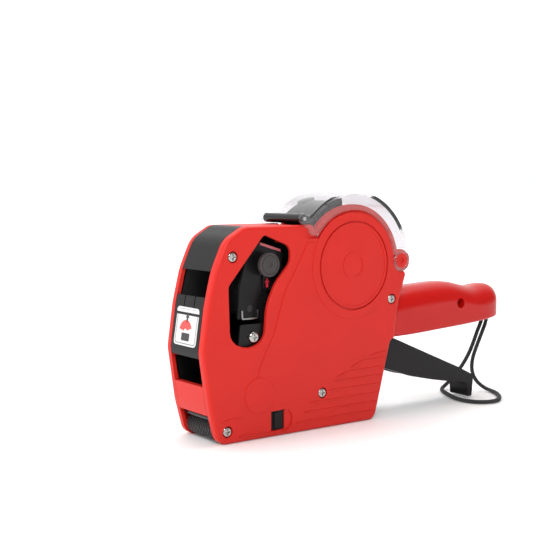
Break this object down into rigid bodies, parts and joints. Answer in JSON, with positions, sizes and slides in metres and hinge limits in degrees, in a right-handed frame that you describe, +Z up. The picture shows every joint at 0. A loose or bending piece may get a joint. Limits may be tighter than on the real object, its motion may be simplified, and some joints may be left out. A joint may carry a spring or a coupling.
{
  "type": "price labeling gun",
  "caption": "Hand-held price labeling gun with side covers, a sprung trigger, a swinging print head, a clear label-roll lid and a wrist strap.",
  "frame": {"origin": "on the flat base that the gun stands on, on its middle plane", "axes": "+X from the nose towards the handle's end, +Y from the cover with the window to the other cover, +Z up"},
  "size_m": [0.2163, 0.0482, 0.1225],
  "materials": {
    "red_shell": "semi-matte moulded red plastic",
    "red_handle": "glossy moulded red plastic",
    "charcoal_satin": "satin charcoal plastic",
    "black_plastic": "satin black plastic",
    "black_gloss": "polished black plastic",
    "knob_grey": "fine-textured dark grey plastic",
    "steel": "nickel plated",
    "band_rubber": "matte rubber",
    "wheel_white": "moulded plastic",
    "red_paint": "painted",
    "tint_strip": "tinted polished plastic",
    "ink_foam": "inked foam",
    "label_plate": "silver-white laminated label",
    "clear_lid": "clear moulded plastic",
    "strap_cloth": "braided cord"
  },
  "bodies": {
    "frame": {"side_cover_left": "red_shell", "side_cover_right": "red_shell", "cover_screws": "steel", "frame_plate_left": "black_plastic", "frame_plate_right": "black_plastic", "spacer_posts": "steel", "nose_cap": "charcoal_satin", "top_bridge": "red_shell", "front_bridge": "red_shell", "peel_bar": "black_gloss", "label_guide": "black_plastic", "trigger_pivot_pin": "steel", "arm_pivot_pin": "steel", "pivot_screws": "steel", "handle_left": "red_handle", "handle_right": "red_handle", "handle_screw": "steel", "strap_anchor": "black_plastic", "strap_cord": "strap_cloth", "bay_guide": "black_plastic", "ink_cover_pin": "steel", "pawl_pin": "steel", "roller_axle": "steel", "spindle_axle": "steel", "base_hinge_pin": "steel"},
    "trigger": {"trigger_lever": "charcoal_satin", "drive_fork": "black_plastic", "drive_pins": "steel", "trigger_spring": "steel"},
    "arm": {"print_arm": "black_plastic", "head_housing": "black_plastic", "head_front_cover": "black_gloss", "setting_wheels": "wheel_white", "type_bands": "band_rubber", "band_anvil": "black_gloss", "pointer_frame": "black_plastic", "red_pointer": "red_paint", "reading_strip": "tint_strip", "spring_clip": "steel"},
    "selector_carriage": {"selector_collar": "black_plastic"},
    "selector": {"selector_knob": "knob_grey", "selector_shaft": "black_plastic"},
    "carrier": {"ink_carrier": "black_plastic"},
    "ink_roller": {"ink_roller_core": "black_plastic", "ink_roller_foam": "ink_foam"},
    "ink_door": {"ink_cover": "charcoal_satin", "instruction_plate": "label_plate"},
    "feeder": {"feed_shaft": "steel", "feed_wheel": "black_plastic", "feed_ratchet": "steel"},
    "pawl": {"feed_pawl": "steel"},
    "applicator": {"applicator_roller": "band_rubber"},
    "spindle": {"roll_spindle": "black_plastic"},
    "lid": {"lid_shell": "clear_lid", "lid_roller_pin": "steel"},
    "guide": {"guide_roller": "black_gloss"},
    "base_door": {"base_lid": "charcoal_satin"},
    "latch_l": {"latch_left": "charcoal_satin"},
    "latch_r": {"latch_right": "charcoal_satin"}
  },
  "joints": [
    {"name": "trigger_squeeze", "type": "hinge", "parent": "frame", "child": "trigger", "pos_m": [0.038, 0, 0.042], "axis": [0, -1, 0], "range_deg": [0, 18], "stiffness_Nm_per_rad": 0.6, "springref_deg": -6.88},
    {"name": "arm_swing", "type": "hinge", "parent": "frame", "child": "arm", "pos_m": [0.014, 0, 0.052], "axis": [0, -1, 0], "range_deg": [0, 29]},
    {"name": "ink_carrier_swing", "type": "hinge", "parent": "frame", "child": "carrier", "pos_m": [-0.0392, 0, 0.0508], "axis": [0, 1, 0], "range_deg": [0, 75]},
    {"name": "ink_roller_spin", "type": "hinge", "parent": "carrier", "child": "ink_roller", "pos_m": [-0.04905, 0, 0.03374], "axis": [0, 1, 0], "continuous": true},
    {"name": "knob_pull", "type": "slide", "parent": "arm", "child": "selector_carriage", "axis": [0, -1, 0], "range_m": [0, 0.008]},
    {"name": "knob_turn", "type": "hinge", "parent": "selector_carriage", "child": "selector", "pos_m": [-0.0306, 0, 0.0863], "axis": [0, -1, 0], "continuous": true},
    {"name": "ink_cover_open", "type": "hinge", "parent": "frame", "child": "ink_door", "pos_m": [-0.0662, 0, 0.0434], "axis": [0, -1, 0], "range_deg": [0, 80]},
    {"name": "feed_wheel_turn", "type": "hinge", "parent": "frame", "child": "feeder", "pos_m": [-0.0372, 0, 0.0219], "axis": [0, -1, 0], "continuous": true},
    {"name": "pawl_lift", "type": "hinge", "parent": "frame", "child": "pawl", "pos_m": [-0.0225, 0, 0.0155], "axis": [0, 1, 0], "range_deg": [0, 14], "stiffness_Nm_per_rad": 0.01, "springref_deg": -5.73},
    {"name": "applicator_spin", "type": "hinge", "parent": "frame", "child": "applicator", "pos_m": [-0.0563, 0, 0.0061], "axis": [0, 1, 0], "continuous": true},
    {"name": "spindle_spin", "type": "hinge", "parent": "frame", "child": "spindle", "pos_m": [0.0237, 0, 0.0836], "axis": [0, 1, 0], "continuous": true},
    {"name": "lid_open", "type": "hinge", "parent": "frame", "child": "lid", "pos_m": [0.0575, 0, 0.0848], "axis": [0, 1, 0], "range_deg": [0, 95]},
    {"name": "guide_roller_spin", "type": "hinge", "parent": "lid", "child": "guide", "pos_m": [-0.0093, 0, 0.1086], "axis": [0, 1, 0], "continuous": true},
    {"name": "base_lid_open", "type": "hinge", "parent": "frame", "child": "base_door", "pos_m": [0.033, 0, 0.0029], "axis": [0, -1, 0], "range_deg": [0, 70]},
    {"name": "latch_left_press", "type": "slide", "parent": "frame", "child": "latch_l", "axis": [0, 1, 0], "range_m": [0, 0.0012], "stiffness_N_per_m": 300},
    {"name": "latch_right_press", "type": "slide", "parent": "frame", "child": "latch_r", "axis": [0, -1, 0], "range_m": [0, 0.0012], "stiffness_N_per_m": 300}
  ],
  "couplings": [
    {"joint": "arm_swing", "follows": "trigger_squeeze", "ratio": 1.6111},
    {"joint": "ink_carrier_swing", "follows": "trigger_squeeze", "ratio": 4.1666}
  ]
}
